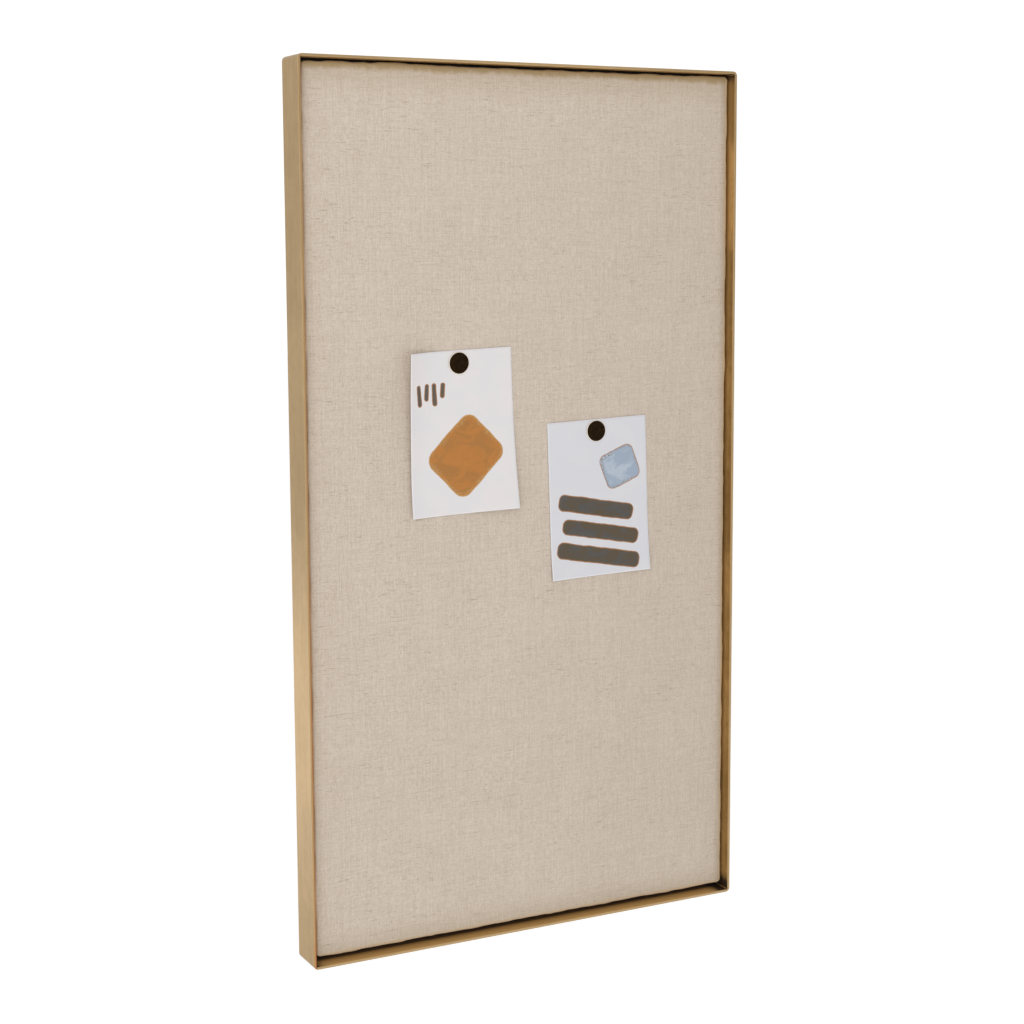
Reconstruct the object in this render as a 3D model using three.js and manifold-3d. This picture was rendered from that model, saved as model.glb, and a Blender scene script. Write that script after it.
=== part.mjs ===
// A wall pin board: a welded strip frame round a cork panel wrapped in linen, with two cards on two pins.
// Millimetres, +Z up, the front faces -Y. The origin lies on the wall, midway between the two hanging screws.
import * as THREE from 'three';
import { mergeVertices } from 'three/addons/utils/BufferGeometryUtils.js';
import Module from 'manifold-3d';

const wasm = await Module();
wasm.setup();

// Frame: flat bar on edge, mitred, welded and ground round outside
const boardWidth = 533;
const boardHeight = 965;
const stripThickness = 3;
const outerCornerRadius = 5;
const lipBreak = 0.4;
const mitreGap = 0.3;
const weldLeg = 2.4;
const weldInset = 2;

// Wrapped panel, from its linen face to the back of the backing board
const panelRecess = 9.3;
const clothThickness = 0.8;
const waddingThickness = 2.5;
const coreThickness = 12;
const backingThickness = 12;
const rearRecess = 6.8;
const layerGap = 0.2;
const sideGap = 4.3;
const topGap = 3.5;
const bottomGap = 7.4;
const panelCornerRadius = 5;
const hemWidth = 35;
const backingGap = 0.8;

// Tabs welded inside the frame, and the screws through them
const tabLength = 24;
const tabReach = 16;
const tabThickness = 2;
const tabCornerRadius = 4;
const seatGap = 0.2;
const longTabShares = [-0.36, 0, 0.36];
const shortTabShares = [-0.26, 0.26];

// Screws, given by their radii, lengths and heads
const fitGap = 0.3;
const tipLength = 2.5;
const tabScrew = { headRadius: 3.6, headHeight: 2.2, shankRadius: 1.7, length: 10 };
const panelScrew = { headRadius: 4, headHeight: 2.6, shankRadius: 2, length: 22 };
const plateScrew = { headRadius: 2.9, headHeight: 1.4, shankRadius: 1.5, length: 11 };
const panelScrewXShares = [-0.25, 0.25];
const panelScrewZShares = [-0.36, 0, 0.36];

// Keyhole hanger plates over routed pockets
const hangDrop = 70;
const hangerInset = 86.5;
const plateWidth = 24;
const plateHeight = 66;
const plateThickness = 1.6;
const plateCornerRadius = 6;
const plateScrewSpacing = 50;
const entryRadius = 5;
const slotRadius = 2.5;
const keyholeDrop = 14;
const pocketWidth = 14;
const pocketDepth = 8;

// Rubber bumpers
const bumperRadius = 6;
const bumperInset = 24;
const bumperProud = 1.2;
const bumperTaper = 0.8;

// Pins, whose needles pass card, linen and wadding into the cork
const pinHeadRadius = 12;
const pinHeadThickness = 2;
const pinDomeRise = 0.7;
const pinRimRadius = 0.6;
const pinSocketDepth = 1.2;
const needleRadius = 0.5;
const needleLength = 11;
const needleTip = 3;

// Cards: each pin's place on the board and on its card, and the curls of the card's corners.
// A curl has the way its corner lies, then its reach and radius as shares of the card's width.
const cardWidth = 127;
const cardHeight = 178;
const cardThickness = 0.4;
const cardColumns = 14;
const cardRows = 19;
const cards = [
  {
    name: 'left',
    placeShares: [-0.1586, 0.1684],
    pinAcrossShare: -0.004,
    pinBelowTopShare: 0.078,
    tilt: 1.9,
    curls: [
      { towardX: -1, towardZ: 0.175, reachShare: 0.38, radiusShare: 0.75 },
      { towardX: 0.8, towardZ: -0.62, reachShare: 0.6, radiusShare: 2.1 },
      { towardX: -0.8, towardZ: -1, reachShare: 0.3, radiusShare: 2.4 },
    ],
  },
  {
    name: 'right',
    placeShares: [0.1613, 0.0835],
    pinAcrossShare: -0.016,
    pinBelowTopShare: 0.074,
    tilt: 1.8,
    curls: [
      { towardX: 0.7, towardZ: -1, reachShare: 0.43, radiusShare: 3.15 },
      { towardX: -0.7, towardZ: -1, reachShare: 0.35, radiusShare: 3.3 },
    ],
  },
];

// Round stretches and cuts; an outline's arc has twice its steps
const cornerSteps = 3;
const keyholeSteps = 6;
const rollSteps = 4;
const crownSteps = 3;
const weldSteps = 5;
const holeSteps = 12;
const screwSteps = 12;
const bumperSteps = 20;
const pinSteps = 32;
const cutOverrun = 1;

// The panel's layers lie on planes counted forward from the frame's rear edge, at Y = 0
const backingRearY = -rearRecess;
const backingFrontY = backingRearY - backingThickness;
const hemRearY = backingFrontY - layerGap;
const hemFrontY = hemRearY - clothThickness;
const coreRearY = hemFrontY - layerGap;
const coreFrontY = coreRearY - coreThickness;
const waddingRearY = coreFrontY - layerGap;
const waddingFrontY = waddingRearY - waddingThickness;
const linenInnerY = waddingFrontY - layerGap;
const linenFrontY = linenInnerY - clothThickness;
const lipY = linenFrontY - panelRecess;
const tabFrontY = backingRearY + seatGap;
const tabRearY = tabFrontY + tabThickness;

const halfWidth = boardWidth / 2;
const halfHeight = boardHeight / 2;
const innerWidth = boardWidth - 2 * stripThickness;
const innerHeight = boardHeight - 2 * stripThickness;
const panelWidth = innerWidth - 2 * sideGap;
const panelHeight = innerHeight - topGap - bottomGap;
const panelRise = (bottomGap - topGap) / 2;
const coreInset = clothThickness + layerGap;
const rollRadius = clothThickness + layerGap + waddingThickness;
const needleHoleRadius = needleRadius + fitGap;
const hangZ = halfHeight - hangDrop;

const finishes = {
  brass: { color: '#ad9167', roughness: 0.42, metalness: 0.9 },
  weld: { color: '#5a4428', roughness: 0.6, metalness: 0.7 },
  linen: { color: '#c8b9aa', roughness: 0.95, metalness: 0 },
  wadding: { color: '#e9e4da', roughness: 1, metalness: 0 },
  cork: { color: '#a9794a', roughness: 0.95, metalness: 0 },
  backing: { color: '#2a2724', roughness: 0.8, metalness: 0 },
  steel: { color: '#9a9a98', roughness: 0.4, metalness: 0.9 },
  rubber: { color: '#1d1c1b', roughness: 0.9, metalness: 0 },
  bronze: { color: '#2a1e13', roughness: 0.45, metalness: 0.8 },
  paper: { color: '#dedde0', roughness: 0.85, metalness: 0 },
};

// The board's group has its own origin at the middle of the frame's rear edge
const board = new THREE.Group();
board.position.set(0, -bumperProud, -hangZ);

function addPiece(parent, name, geometry, finish) {
  const mesh = new THREE.Mesh(geometry, new THREE.MeshStandardMaterial(finishes[finish]));
  mesh.name = name;
  parent.add(mesh);
  return mesh;
}

// Booleans on closed meshes
function solidOf(geometry) {
  const bare = geometry.index ? geometry.toNonIndexed() : geometry.clone();
  bare.deleteAttribute('normal');
  bare.deleteAttribute('uv');
  const merged = mergeVertices(bare);
  const mesh = new wasm.Mesh({
    numProp: 3,
    vertProperties: merged.attributes.position.array,
    triVerts: new Uint32Array(merged.index.array),
  });
  return new wasm.Manifold(mesh);
}

function geometryOf(solid) {
  const mesh = solid.getMesh();
  const geometry = new THREE.BufferGeometry();
  geometry.setAttribute('position', new THREE.BufferAttribute(new Float32Array(mesh.vertProperties), 3));
  geometry.setIndex(new THREE.BufferAttribute(new Uint32Array(mesh.triVerts), 1));
  const flat = geometry.toNonIndexed();
  flat.computeVertexNormals();
  return flat;
}

function carve(geometry, cutters) {
  let solid = solidOf(geometry);
  for (const cutter of cutters) {
    solid = solid.subtract(solidOf(cutter));
  }
  return geometryOf(solid);
}

function common(geometry, other) {
  return geometryOf(solidOf(geometry).intersect(solidOf(other)));
}

// Outlines are drawn in X and Z
function roundedRect(outline, width, height, radius, z = 0) {
  const right = width / 2 - radius;
  const top = height / 2 - radius;
  outline.absarc(right, z + top, radius, 0, Math.PI / 2, false);
  outline.absarc(-right, z + top, radius, Math.PI / 2, Math.PI, false);
  outline.absarc(-right, z - top, radius, Math.PI, 1.5 * Math.PI, false);
  outline.absarc(right, z - top, radius, 1.5 * Math.PI, 2 * Math.PI, false);
  outline.closePath();
  return outline;
}

function polygon(outline, points) {
  points.forEach(([x, z], index) => (index ? outline.lineTo(x, z) : outline.moveTo(x, z)));
  outline.closePath();
  return outline;
}

// A slab of an outline between two planes, its edges broken or rolled by edge
function slab(outline, frontY, rearY, edge = 0, edgeSteps = 1, arcSteps = cornerSteps) {
  const geometry = new THREE.ExtrudeGeometry(outline, {
    depth: rearY - frontY - 2 * edge,
    bevelEnabled: edge > 0,
    bevelThickness: edge,
    bevelSize: edge,
    bevelOffset: -edge,
    bevelSegments: edgeSteps,
    curveSegments: arcSteps,
  });
  geometry.rotateX(Math.PI / 2);
  geometry.translate(0, rearY - edge, 0);
  return geometry;
}

// A block whose front edge alone is rolled: both edges are rolled and the rear roll is cut off
function rolledBlock(width, height, cornerRadius, roll, frontY, rearY) {
  const outline = roundedRect(new THREE.Shape(), width, height, cornerRadius, panelRise);
  const around = roundedRect(new THREE.Shape(), boardWidth, boardHeight, cornerRadius);
  const whole = slab(outline, frontY, rearY + 2 * roll, roll, rollSteps);
  return common(whole, slab(around, frontY - cutOverrun, rearY));
}

function drill(x, z, radius, frontY, rearY) {
  const geometry = new THREE.CylinderGeometry(radius, radius, rearY - frontY, holeSteps);
  geometry.translate(x, (frontY + rearY) / 2, z);
  return geometry;
}

// A cone for a countersunk head, its wide end at the rear face
function countersink(x, z, screw, rearY) {
  const wide = screw.headRadius + fitGap;
  const narrow = screw.shankRadius + fitGap;
  const geometry = new THREE.CylinderGeometry(wide, narrow, screw.headHeight, holeSteps);
  geometry.translate(x, rearY - screw.headHeight / 2, z);
  return geometry;
}

function lathe(points, steps) {
  return new THREE.LatheGeometry(points.map(([radius, y]) => new THREE.Vector2(radius, y)), steps);
}

// Four sides, each turned about Y from the top one; out is the way to its outer face, along half its length
const sides = [
  { name: 'top', turn: 0, out: halfHeight, along: halfWidth, tabShares: shortTabShares },
  { name: 'right', turn: Math.PI / 2, out: halfWidth, along: halfHeight, tabShares: longTabShares },
  { name: 'bottom', turn: Math.PI, out: halfHeight, along: halfWidth, tabShares: shortTabShares },
  { name: 'left', turn: -Math.PI / 2, out: halfWidth, along: halfHeight, tabShares: longTabShares },
];

// Frame rails: one ring of strip, cut at the mitres
function addRails() {
  const ring = roundedRect(new THREE.Shape(), boardWidth, boardHeight, outerCornerRadius);
  const inX = innerWidth / 2;
  const inZ = innerHeight / 2;
  ring.holes.push(polygon(new THREE.Path(), [[-inX, -inZ], [inX, -inZ], [inX, inZ], [-inX, inZ]]));
  const whole = slab(ring, lipY, 0, lipBreak);
  const back = mitreGap * Math.SQRT1_2;
  const depth = stripThickness + cutOverrun;
  for (const side of sides) {
    const outer = side.along + cutOverrun - back;
    const inner = side.along - depth - back;
    const wedge = polygon(new THREE.Shape(), [
      [-outer, side.out + cutOverrun],
      [-inner, side.out - depth],
      [inner, side.out - depth],
      [outer, side.out + cutOverrun],
    ]);
    const cutter = slab(wedge, lipY - cutOverrun, cutOverrun);
    cutter.rotateY(side.turn);
    addPiece(board, `frame_rail_${side.name}`, common(whole, cutter), 'brass');
  }
}

// Weld beads: a hollow fillet down each inner corner
function addWelds() {
  for (const [upDown, signZ] of [['top', 1], ['bottom', -1]]) {
    for (const [leftRight, signX] of [['left', -1], ['right', 1]]) {
      const cornerX = (signX * innerWidth) / 2;
      const cornerZ = (signZ * innerHeight) / 2;
      const points = [[cornerX, cornerZ]];
      for (let step = 0; step <= weldSteps; step += 1) {
        const angle = (step / weldSteps) * (Math.PI / 2);
        points.push([
          cornerX - signX * weldLeg * (1 - Math.sin(angle)),
          cornerZ - signZ * weldLeg * (1 - Math.cos(angle)),
        ]);
      }
      const bead = slab(polygon(new THREE.Shape(), points), lipY + weldInset, -weldInset);
      addPiece(board, `corner_weld_${upDown}_${leftRight}`, bead, 'weld');
    }
  }
}

// A pan head screw has its seat at Y = 0, its head behind and its tip in front
function panHeadScrew(screw) {
  const rim = screw.headHeight / 3;
  const points = [
    [0, -screw.length],
    [screw.shankRadius, tipLength - screw.length],
    [screw.shankRadius, 0],
    [screw.headRadius, 0],
  ];
  for (let step = 0; step <= crownSteps; step += 1) {
    const angle = (step / crownSteps) * (Math.PI / 2);
    const radius = step < crownSteps ? screw.headRadius * Math.cos(angle) : 0;
    points.push([radius, rim + (screw.headHeight - rim) * Math.sin(angle)]);
  }
  return lathe(points, screwSteps);
}

// A countersunk screw has the flat of its head at Y = 0
function countersunkScrew(screw) {
  return lathe([
    [0, -screw.length],
    [screw.shankRadius, tipLength - screw.length],
    [screw.shankRadius, -screw.headHeight],
    [screw.headRadius, 0],
    [0, 0],
  ], screwSteps);
}

// Tabs and their screws; the place of each screw is kept for the hole in the backing board
const tabScrewPlaces = [];
function addTabs() {
  for (const side of sides) {
    const rail = new THREE.Group();
    rail.rotation.y = side.turn;
    board.add(rail);
    side.tabShares.forEach((share, index) => {
      const x = share * 2 * side.along;
      const seatZ = side.out - stripThickness - seatGap;
      const holeZ = seatZ - tabReach / 2;
      const outline = new THREE.Shape();
      const half = tabLength / 2;
      outline.moveTo(x - half, seatZ);
      outline.lineTo(x - half, seatZ - tabReach + tabCornerRadius);
      outline.absarc(x - half + tabCornerRadius, seatZ - tabReach + tabCornerRadius,
        tabCornerRadius, Math.PI, 1.5 * Math.PI, false);
      outline.absarc(x + half - tabCornerRadius, seatZ - tabReach + tabCornerRadius,
        tabCornerRadius, 1.5 * Math.PI, 2 * Math.PI, false);
      outline.lineTo(x + half, seatZ);
      outline.closePath();
      const tab = carve(slab(outline, tabFrontY, tabRearY), [
        drill(x, holeZ, tabScrew.shankRadius + fitGap, tabFrontY - cutOverrun, tabRearY + cutOverrun),
      ]);
      addPiece(rail, `frame_tab_${side.name}_${index + 1}`, tab, 'brass');
      const screw = addPiece(rail, `tab_screw_${side.name}_${index + 1}`, panHeadScrew(tabScrew), 'steel');
      screw.position.set(x, tabRearY + seatGap, holeZ);
      tabScrewPlaces.push(screw.position.clone().applyAxisAngle(new THREE.Vector3(0, 1, 0), side.turn));
    });
  }
}

const panelScrewPlaces = panelScrewZShares.flatMap((shareZ) =>
  panelScrewXShares.map((shareX) => [shareX * boardWidth, shareZ * boardHeight]));

const hangers = [
  { name: 'left', x: hangerInset - halfWidth },
  { name: 'right', x: halfWidth - hangerInset },
];
const plateZ = hangZ - keyholeDrop / 2;

function addBackingBoard() {
  const width = innerWidth - 2 * backingGap;
  const height = innerHeight - 2 * backingGap;
  const outline = roundedRect(new THREE.Shape(), width, height, weldLeg + backingGap);
  const behind = backingRearY + cutOverrun;
  const cutters = [];
  const tabHoleRadius = tabScrew.shankRadius + fitGap;
  const tabHoleEndY = backingRearY - tabScrew.length + tabThickness + 2 * seatGap - fitGap;
  for (const place of tabScrewPlaces) {
    cutters.push(drill(place.x, place.z, tabHoleRadius, tabHoleEndY, behind));
  }
  for (const [x, z] of panelScrewPlaces) {
    cutters.push(drill(x, z, panelScrew.shankRadius + fitGap, backingFrontY - cutOverrun, behind));
    cutters.push(countersink(x, z, panelScrew, backingRearY));
  }
  const plateHoleRadius = plateScrew.shankRadius + fitGap;
  const plateHoleEndY = backingRearY - plateScrew.length + plateThickness + seatGap - fitGap;
  for (const { x } of hangers) {
    const pocketHeight = keyholeDrop + pocketWidth;
    const pocket = roundedRect(new THREE.Shape(), pocketWidth, pocketHeight, pocketWidth / 2, plateZ);
    const cutter = slab(pocket, backingRearY - pocketDepth, behind);
    cutter.translate(x, 0, 0);
    cutters.push(cutter);
    for (const sign of [-1, 1]) {
      const z = plateZ + (sign * plateScrewSpacing) / 2;
      cutters.push(drill(x, z, plateHoleRadius, plateHoleEndY, behind));
    }
  }
  addPiece(board, 'backing_board', carve(slab(outline, backingFrontY, backingRearY), cutters), 'backing');
}

function addPanelScrews() {
  panelScrewPlaces.forEach(([x, z], index) => {
    const screw = addPiece(board, `panel_screw_${index + 1}`, countersunkScrew(panelScrew), 'steel');
    screw.position.set(x, backingRearY, z);
  });
}

// Hanger plates: the wall screw's head goes in at the round entry, and its shank rises to the top of the slot
function keyhole(outline, x, z) {
  const neck = Math.asin(slotRadius / entryRadius);
  const entryZ = z - keyholeDrop;
  outline.absarc(x, z, slotRadius, 0, Math.PI, false);
  outline.absarc(x, entryZ, entryRadius, Math.PI / 2 + neck, 2.5 * Math.PI - neck, false);
  outline.closePath();
  return outline;
}

function addHangers() {
  const frontY = backingRearY + seatGap;
  const rearY = frontY + plateThickness;
  for (const { name, x } of hangers) {
    const outline = roundedRect(new THREE.Shape(), plateWidth, plateHeight, plateCornerRadius, plateZ);
    outline.holes.push(keyhole(new THREE.Path(), 0, hangZ));
    const blank = slab(outline, frontY, rearY, 0, 1, keyholeSteps);
    const cutters = [];
    for (const [label, sign] of [['upper', 1], ['lower', -1]]) {
      const z = plateZ + (sign * plateScrewSpacing) / 2;
      cutters.push(drill(0, z, plateScrew.shankRadius + fitGap, frontY - cutOverrun, rearY + cutOverrun));
      cutters.push(countersink(0, z, plateScrew, rearY));
      const screw = addPiece(board, `plate_screw_${name}_${label}`, countersunkScrew(plateScrew), 'steel');
      screw.position.set(x, rearY, z);
    }
    const plate = addPiece(board, `keyhole_plate_${name}`, carve(blank, cutters), 'steel');
    plate.position.x = x;
  }
}

function addBumpers() {
  const frontY = backingRearY + seatGap;
  const profile = [
    [0, frontY],
    [bumperRadius, frontY],
    [bumperRadius, bumperProud - bumperTaper],
    [bumperRadius - bumperTaper, bumperProud],
    [0, bumperProud],
  ];
  const bumperX = innerWidth / 2 - bumperInset;
  const bumperZ = innerHeight / 2 - bumperInset;
  for (const [upDown, signZ] of [['top', 1], ['bottom', -1]]) {
    for (const [leftRight, signX] of [['left', -1], ['right', 1]]) {
      const shape = lathe(profile, bumperSteps);
      const bumper = addPiece(board, `wall_bumper_${upDown}_${leftRight}`, shape, 'rubber');
      bumper.position.set(signX * bumperX, 0, signZ * bumperZ);
    }
  }
}

// Card and pin planes, counted forward from the linen
const cardRearY = linenFrontY - fitGap;
const pinSeatY = cardRearY - cardThickness - fitGap;
const pinPlaces = cards.map((card) => [card.placeShares[0] * boardWidth, card.placeShares[1] * boardHeight]);
const needleEndY = pinSeatY + needleLength;

function needleHoles(frontY, rearY) {
  return pinPlaces.map(([x, z]) => drill(x, z, needleHoleRadius, frontY, rearY));
}

// The panel: cork core, wadding over its face, and the linen wrapped round both with a hem at the back
function addPanel() {
  const coreWidth = panelWidth - 2 * coreInset;
  const coreHeight = panelHeight - 2 * coreInset;
  const coreRadius = panelCornerRadius - coreInset;
  const coreOutline = roundedRect(new THREE.Shape(), coreWidth, coreHeight, coreRadius, panelRise);
  const core = slab(coreOutline, coreFrontY, coreRearY);
  const screwEndY = backingRearY - panelScrew.length - fitGap;
  const cutters = needleHoles(coreFrontY - cutOverrun, needleEndY + fitGap);
  for (const [x, z] of panelScrewPlaces) {
    cutters.push(drill(x, z, panelScrew.shankRadius + fitGap, screwEndY, coreRearY + cutOverrun));
  }
  addPiece(board, 'cork_core', carve(core, cutters), 'cork');

  const pad = rolledBlock(coreWidth, coreHeight, coreRadius, waddingThickness, waddingFrontY, waddingRearY);
  const padHoles = needleHoles(waddingFrontY - cutOverrun, waddingRearY + cutOverrun);
  addPiece(board, 'wadding', carve(pad, padHoles), 'wadding');

  const outside = rolledBlock(panelWidth, panelHeight, panelCornerRadius, rollRadius, linenFrontY, hemRearY);
  const inside = rolledBlock(
    panelWidth - 2 * clothThickness,
    panelHeight - 2 * clothThickness,
    panelCornerRadius - clothThickness,
    rollRadius - clothThickness,
    linenInnerY,
    hemFrontY,
  );
  const openingWidth = panelWidth - 2 * hemWidth;
  const openingHeight = panelHeight - 2 * hemWidth;
  const opening = roundedRect(new THREE.Shape(), openingWidth, openingHeight, panelCornerRadius, panelRise);
  const linen = carve(outside, [
    inside,
    slab(opening, hemFrontY - cutOverrun, hemRearY + cutOverrun),
    ...needleHoles(linenFrontY - cutOverrun, linenInnerY + cutOverrun),
  ]);
  addPiece(board, 'linen_cover', linen, 'linen');
}

// A corner curl bends the sheet round a cylinder whose axis lies square to the way to the corner.
// across and up are a point of the flat card, and lift its height over the card's rear face.
function curlPoint(card, across, up, lift) {
  const point = new THREE.Vector3(across, -lift, up);
  for (const curl of card.curls) {
    const way = new THREE.Vector3(curl.towardX, 0, curl.towardZ).normalize();
    const corner = new THREE.Vector3(
      (Math.sign(curl.towardX) * cardWidth) / 2,
      0,
      (Math.sign(curl.towardZ) * cardHeight) / 2,
    );
    const radius = curl.radiusShare * cardWidth;
    const past = curl.reachShare * cardWidth - corner.sub(new THREE.Vector3(across, 0, up)).dot(way);
    if (past > 0) {
      const angle = past / radius;
      const arm = radius - lift;
      point.addScaledVector(way, arm * Math.sin(angle) - past);
      point.y -= radius - arm * Math.cos(angle) - lift;
    }
  }
  return point;
}

// A closed sheet of two layers and a rim; place gives the point of a column and row share on layer 0 or 1
function sheetGeometry(columns, rows, place) {
  const points = [];
  const index = [];
  for (const layer of [0, 1]) {
    for (let row = 0; row <= rows; row += 1) {
      for (let column = 0; column <= columns; column += 1) {
        points.push(place(column / columns, row / rows, layer));
      }
    }
  }
  const at = ([column, row], layer) => (layer * (rows + 1) + row) * (columns + 1) + column;
  const quad = (a, b, c, d) => index.push(a, b, c, a, c, d);
  const rim = [];
  for (let row = 0; row < rows; row += 1) {
    for (let column = 0; column < columns; column += 1) {
      const cell = [[column, row], [column + 1, row], [column + 1, row + 1], [column, row + 1]];
      const [a, b, c, d] = cell.map((corner) => at(corner, 0));
      quad(a, d, c, b);
      quad(...cell.map((corner) => at(corner, 1)));
    }
  }
  for (let column = 0; column < columns; column += 1) {
    rim.push([[column, 0], [column + 1, 0]]);
    rim.push([[column + 1, rows], [column, rows]]);
  }
  for (let row = 0; row < rows; row += 1) {
    rim.push([[columns, row], [columns, row + 1]]);
    rim.push([[0, row + 1], [0, row]]);
  }
  for (const [from, to] of rim) {
    quad(at(from, 0), at(to, 0), at(to, 1), at(from, 1));
  }
  return new THREE.BufferGeometry().setFromPoints(points).setIndex(index);
}

function cardGeometry(card) {
  const sheet = sheetGeometry(cardColumns, cardRows, (acrossShare, upShare, layer) =>
    curlPoint(card, (acrossShare - 0.5) * cardWidth, (upShare - 0.5) * cardHeight, layer * cardThickness));
  sheet.translate(-card.pinAcrossShare * cardWidth, 0, (card.pinBelowTopShare - 0.5) * cardHeight);
  return carve(sheet, [drill(0, 0, needleHoleRadius, -cardThickness - cutOverrun, cutOverrun)]);
}

// A pin has its seat on the card at Y = 0, its dome in front and its needle behind
function pinHeadGeometry() {
  const rimRadius = pinHeadRadius - pinRimRadius;
  const rimY = pinRimRadius - (pinHeadThickness - pinDomeRise);
  const points = [
    [0, -pinSocketDepth],
    [needleHoleRadius, -pinSocketDepth],
    [needleHoleRadius, 0],
    [rimRadius, 0],
    [pinHeadRadius, -pinRimRadius / 2],
  ];
  for (let step = 0; step <= rollSteps; step += 1) {
    const angle = (step / rollSteps) * (Math.PI / 2);
    points.push([rimRadius + pinRimRadius * Math.cos(angle), rimY - pinRimRadius * Math.sin(angle)]);
  }
  for (let step = 1; step <= crownSteps; step += 1) {
    const share = 1 - step / crownSteps;
    const crownY = -pinHeadThickness + pinDomeRise * share * share;
    points.push([rimRadius * share, crownY]);
  }
  return lathe(points.reverse(), pinSteps);
}

function needleGeometry() {
  return lathe([
    [0, fitGap - pinSocketDepth],
    [needleRadius, fitGap - pinSocketDepth],
    [needleRadius, needleLength - needleTip],
    [0, needleLength],
  ], holeSteps);
}

function addCardsAndPins() {
  cards.forEach((card, index) => {
    const [x, z] = pinPlaces[index];
    const pin = new THREE.Group();
    pin.position.set(x, pinSeatY, z);
    addPiece(pin, `pin_head_${card.name}`, pinHeadGeometry(), 'bronze');
    addPiece(pin, `pin_needle_${card.name}`, needleGeometry(), 'steel');
    board.add(pin);
    const sheet = addPiece(board, `card_${card.name}`, cardGeometry(card), 'paper');
    sheet.position.set(x, cardRearY, z);
    sheet.rotation.y = -THREE.MathUtils.degToRad(card.tilt);
  });
}

addRails();
addWelds();
addTabs();
addBackingBoard();
addPanelScrews();
addHangers();
addBumpers();
addPanel();
addCardsAndPins();

const pinBoard = new THREE.Group();
pinBoard.name = 'pin_board';
pinBoard.add(board);

export default pinBoard;
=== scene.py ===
import math
import random

import bmesh
import bpy
from mathutils import Matrix, Vector, noise


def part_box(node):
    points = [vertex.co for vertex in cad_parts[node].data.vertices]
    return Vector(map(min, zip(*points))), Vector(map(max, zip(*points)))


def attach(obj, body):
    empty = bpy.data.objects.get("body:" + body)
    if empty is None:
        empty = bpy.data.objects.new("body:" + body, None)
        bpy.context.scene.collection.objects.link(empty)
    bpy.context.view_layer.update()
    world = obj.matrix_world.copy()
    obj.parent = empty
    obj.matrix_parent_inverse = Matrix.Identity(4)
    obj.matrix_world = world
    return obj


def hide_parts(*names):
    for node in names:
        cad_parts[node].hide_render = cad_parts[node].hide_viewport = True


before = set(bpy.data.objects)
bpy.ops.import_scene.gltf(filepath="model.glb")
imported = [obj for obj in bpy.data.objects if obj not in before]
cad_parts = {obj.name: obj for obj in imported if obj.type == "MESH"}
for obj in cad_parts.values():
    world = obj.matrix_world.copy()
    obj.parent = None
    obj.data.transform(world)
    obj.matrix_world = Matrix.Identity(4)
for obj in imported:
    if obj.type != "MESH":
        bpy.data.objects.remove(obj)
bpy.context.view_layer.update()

mm = 0.001
print("frame loaded")


def midOf(node):
    low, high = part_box(node)
    return (low + high) / 2


# Sizes that several pieces share, read from the frame
boardBox = {
    "left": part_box("frame_rail_left")[0].x,
    "right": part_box("frame_rail_right")[1].x,
    "bottom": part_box("frame_rail_bottom")[0].z,
    "top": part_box("frame_rail_top")[1].z,
    "lip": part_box("frame_rail_top")[0].y,
    "rear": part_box("frame_rail_top")[1].y,
}
strip = boardBox["top"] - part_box("frame_rail_top")[0].z
boardMid = Vector((0, 0, (boardBox["top"] + boardBox["bottom"]) / 2))
innerHalf = Vector((boardBox["right"] - strip, 0, (boardBox["top"] - boardBox["bottom"]) / 2 - strip))
linenLow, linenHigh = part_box("linen_cover")

# How near a point is to another, to a cut or to a face when it counts as on it
near = {"point": 0.002 * mm, "spunPoint": 0.004 * mm, "cut": 0.001 * mm, "face": 0.01 * mm}


# Shader maths
class Wire:
    def __init__(self, tree, socket=None):
        self.tree = tree
        self.socket = socket

    def make(self, kind, settings=None, values=None, out=0):
        made = self.tree.nodes.new("ShaderNode" + kind)
        for name, value in (settings or {}).items():
            if name == "stops":
                for place, shade in value[1:-1]:
                    made.color_ramp.elements.new(place)
                for element, (place, shade) in zip(made.color_ramp.elements, value):
                    element.position = place
                    element.color = shade
            else:
                setattr(made, name, value)
        for key, value in (values or {}).items():
            if isinstance(value, Wire):
                self.tree.links.new(value.socket, made.inputs[key])
            else:
                made.inputs[key].default_value = value
        if isinstance(out, tuple):
            return [Wire(self.tree, made.outputs[index]) for index in out]
        return Wire(self.tree, made.outputs[out])

    def maths(self, operation, *values):
        return self.make("Math", {"operation": operation}, dict(enumerate(values)))

    def __add__(self, other):
        return self.maths("ADD", self, other)

    __radd__ = __add__

    def __sub__(self, other):
        return self.maths("SUBTRACT", self, other)

    def __rsub__(self, other):
        return self.maths("SUBTRACT", other, self)

    def __mul__(self, other):
        return self.maths("MULTIPLY", self, other)

    __rmul__ = __mul__

    def __pow__(self, other):
        return self.maths("POWER", self, other)

    def __abs__(self):
        return self.maths("ABSOLUTE", self)

    def above(self, floor):
        return self.maths("MAXIMUM", self, floor)

    def below(self, ceiling):
        return self.maths("MINIMUM", self, ceiling)

    # 0 at start and 1 at end, eased, whichever of them is the larger
    def ease(self, start, end):
        values = {"Value": self, "From Min": start, "From Max": end}
        return self.make("MapRange", {"interpolation_type": "SMOOTHSTEP"}, values)


def sRgb(red, green, blue):
    def linear(level):
        share = level / 255
        return share / 12.92 if share < 0.04045 else ((share + 0.055) / 1.055) ** 2.4

    return (linear(red), linear(green), linear(blue), 1)


def newFinish(name, constants):
    material = bpy.data.materials.new(name)
    material.use_nodes = True
    shader = material.node_tree.nodes["Principled BSDF"]
    for socket, value in constants.items():
        shader.inputs[socket].default_value = value
    place = Wire(material.node_tree).make("TexCoord", None, None, 3)  # its fourth output is Object
    return material, place


def feed(material, socket, wire):
    shader = material.node_tree.nodes["Principled BSDF"]
    material.node_tree.links.new(wire.socket, shader.inputs[socket])


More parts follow.
